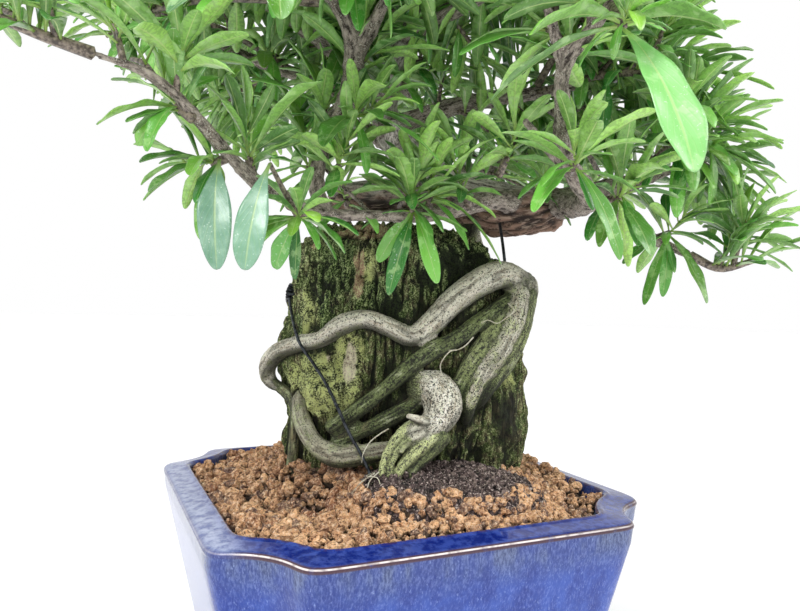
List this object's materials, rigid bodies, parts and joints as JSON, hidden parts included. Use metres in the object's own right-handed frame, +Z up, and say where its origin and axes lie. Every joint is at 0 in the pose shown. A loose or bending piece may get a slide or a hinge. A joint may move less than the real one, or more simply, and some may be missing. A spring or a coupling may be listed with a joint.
{
  "type": "firethorn bonsai in pot",
  "caption": "Firethorn bonsai whose roots clasp a tall rock, with a leafy rounded crown, standing in a square glazed pot with scooped corners; for display.",
  "frame": {"origin": "on the surface that the pot stands on, under the middle of the whole object's box", "axes": "+Z up the tree; X and Y along the straight sides of the pot; the front of the tree is seen looking along +Y turned 24.7 degrees towards +X"},
  "size_m": [0.279, 0.2816, 0.3423],
  "materials": {
    "glaze": "gloss",
    "drain_plastic": "matte",
    "akadama": "matte",
    "muck": "matte",
    "stone": "matte",
    "bark": "matte",
    "wire": "satin",
    "leaf": "satin"
  },
  "bodies": {
    "root": {"pot": "glaze", "drain_mesh": "drain_plastic", "soil": "akadama", "muck": "muck", "rock": "stone", "wood": "bark", "tie_wire": "wire", "bough_wire": "wire", "spray_left_end": "leaf", "spray_left_knee": "leaf", "spray_left_fork": "leaf", "spray_left_drop": "leaf", "spray_upright_low": "leaf", "spray_upright_mid": "leaf", "spray_centre_left": "leaf", "spray_centre_right": "leaf", "spray_trunk_front": "leaf", "spray_fork_low": "leaf", "spray_right_near": "leaf", "spray_right_low": "leaf", "spray_high_left": "leaf", "spray_high_right": "leaf", "spray_crown_01": "leaf", "spray_crown_02": "leaf", "spray_crown_03": "leaf", "spray_crown_04": "leaf", "spray_crown_05": "leaf", "spray_crown_06": "leaf", "spray_crown_07": "leaf", "spray_crown_08": "leaf", "spray_crown_09": "leaf", "spray_crown_10": "leaf", "spray_crown_11": "leaf", "spray_crown_12": "leaf", "spray_crown_13": "leaf", "spray_crown_14": "leaf", "spray_crown_15": "leaf", "spray_crown_16": "leaf", "spray_crown_17": "leaf", "spray_crown_18": "leaf", "spray_crown_19": "leaf", "spray_crown_20": "leaf", "spray_crown_21": "leaf", "spray_crown_22": "leaf", "spray_crown_23": "leaf", "spray_crown_24": "leaf", "spray_crown_25": "leaf", "spray_crown_26": "leaf", "spray_crown_27": "leaf", "spray_crown_28": "leaf", "spray_crown_29": "leaf", "spray_crown_30": "leaf", "spray_crown_31": "leaf", "spray_crown_32": "leaf", "spray_crown_33": "leaf", "spray_crown_34": "leaf", "spray_crown_35": "leaf"}
  },
  "joints": []
}
